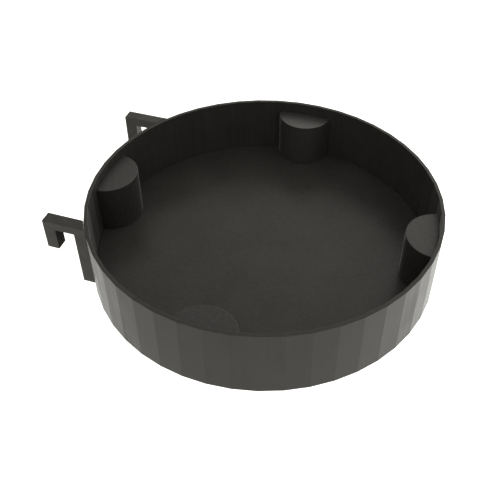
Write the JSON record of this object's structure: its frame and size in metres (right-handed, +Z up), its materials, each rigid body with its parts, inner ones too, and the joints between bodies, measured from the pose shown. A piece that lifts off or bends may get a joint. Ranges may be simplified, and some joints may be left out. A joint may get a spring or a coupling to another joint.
{
  "type": "gold pan",
  "caption": "Shallow round pan with an upright wall of narrow flats, half-round ledge posts inside and side hooks that hang it on an edge.",
  "frame": {"origin": "on the pan's axis, on the underside of its floor, 8 mm above the plane that it stands on", "axes": "+Z up out of the pan's mouth, -X towards the hooks, +Y to the back"},
  "size_m": [0.2924, 0.2798, 0.06],
  "materials": {
    "wall_plastic": "satin charcoal moulding",
    "floor_plastic": "fine matt charcoal moulding",
    "post_plastic": "fine matt charcoal moulding",
    "hook_plastic": "satin charcoal moulding"
  },
  "bodies": {
    "root": {"pan_wall": "wall_plastic", "pan_floor": "floor_plastic", "post_right": "post_plastic", "post_back": "post_plastic", "post_left": "post_plastic", "post_front": "post_plastic", "hook_front": "hook_plastic", "hook_back": "hook_plastic"}
  },
  "joints": []
}
